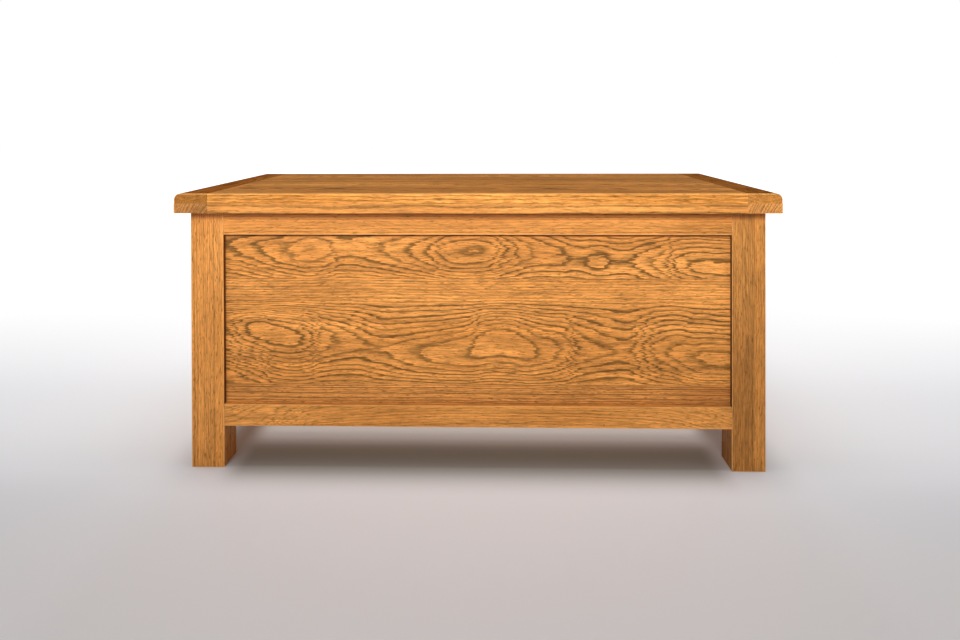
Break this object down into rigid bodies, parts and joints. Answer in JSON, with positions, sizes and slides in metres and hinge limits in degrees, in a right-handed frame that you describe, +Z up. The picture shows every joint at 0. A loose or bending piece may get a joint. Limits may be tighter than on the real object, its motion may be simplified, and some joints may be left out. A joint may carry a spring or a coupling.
{
  "type": "blanket chest",
  "caption": "Low panelled oak chest on square corner posts, with an overhanging two-layer lid that is hinged at the back and held open by slotted stays.",
  "frame": {"origin": "on the floor, under the middle of the chest's bounding box", "axes": "+X along the chest towards its right end as seen from the front, +Y from the front panel to the hinged back, +Z up"},
  "size_m": [1.1, 0.5083, 0.508],
  "materials": {
    "oak_posts": "clear oil, satin",
    "oak_rails": "clear oil, satin",
    "oak_panels": "clear oil, satin",
    "oak_lid": "clear oil, satin",
    "oak_lid_ends": "clear oil, satin",
    "oak_floor": "sanded, unfinished",
    "brass": "satin",
    "steel": "zinc plated, satin",
    "rubber": "matt"
  },
  "bodies": {
    "carcass": {"back_bottom_rail": "oak_rails", "back_floor_batten": "oak_floor", "back_panel_lower_board": "oak_panels", "back_panel_upper_board": "oak_panels", "back_top_rail": "oak_rails", "batten_screws": "steel", "carcass_hardware_screws": "steel", "floor_board_1": "oak_floor", "floor_board_2": "oak_floor", "floor_board_3": "oak_floor", "floor_board_4": "oak_floor", "floor_board_5": "oak_floor", "front_bottom_rail": "oak_rails", "front_floor_batten": "oak_floor", "front_panel_bottom_board": "oak_panels", "front_panel_middle_board": "oak_panels", "front_panel_top_board": "oak_panels", "front_top_rail": "oak_rails", "hinge_left_carcass_leaf": "brass", "hinge_middle_carcass_leaf": "brass", "hinge_pins": "brass", "hinge_right_carcass_leaf": "brass", "left_bottom_rail": "oak_rails", "left_floor_batten": "oak_floor", "left_panel_lower_board": "oak_panels", "left_panel_upper_board": "oak_panels", "left_top_rail": "oak_rails", "lid_buffers": "rubber", "post_back_left": "oak_posts", "post_back_right": "oak_posts", "post_front_left": "oak_posts", "post_front_right": "oak_posts", "right_bottom_rail": "oak_rails", "right_floor_batten": "oak_floor", "right_panel_lower_board": "oak_panels", "right_panel_upper_board": "oak_panels", "right_top_rail": "oak_rails", "stay_plate_left": "steel", "stay_plate_right": "steel", "stay_studs": "steel"},
    "lid": {"breadboard_end_left": "oak_lid_ends", "breadboard_end_right": "oak_lid_ends", "hinge_left_lid_leaf": "brass", "hinge_middle_lid_leaf": "brass", "hinge_right_lid_leaf": "brass", "lid_board_back": "oak_lid", "lid_board_back_middle": "oak_lid", "lid_board_front": "oak_lid", "lid_board_front_middle": "oak_lid", "lid_hardware_screws": "steel", "lid_strip_back": "oak_lid_ends", "lid_strip_front": "oak_lid_ends", "lid_strip_left": "oak_lid_ends", "lid_strip_right": "oak_lid_ends", "stay_bracket_left": "steel", "stay_bracket_right": "steel", "stay_rivets": "steel"},
    "left_stay": {"stay_arm_left": "steel"},
    "right_stay": {"stay_arm_right": "steel"}
  },
  "joints": [
    {"name": "lid_hinge", "type": "hinge", "parent": "carcass", "child": "lid", "pos_m": [0, 0.25015, 0.47125], "axis": [-1, 0, 0], "range_deg": [0, 95]},
    {"name": "left_stay_pivot", "type": "hinge", "parent": "lid", "child": "left_stay", "pos_m": [-0.4927, 0.09064, 0.4587], "axis": [-1, 0, 0], "range_deg": [-47.5, 0]},
    {"name": "right_stay_pivot", "type": "hinge", "parent": "lid", "child": "right_stay", "pos_m": [0.4927, 0.09064, 0.4587], "axis": [-1, 0, 0], "range_deg": [-47.5, 0]}
  ],
  "couplings": [
    {"joint": "left_stay_pivot", "follows": "lid_hinge", "ratio": -0.5},
    {"joint": "right_stay_pivot", "follows": "lid_hinge", "ratio": -0.5}
  ]
}
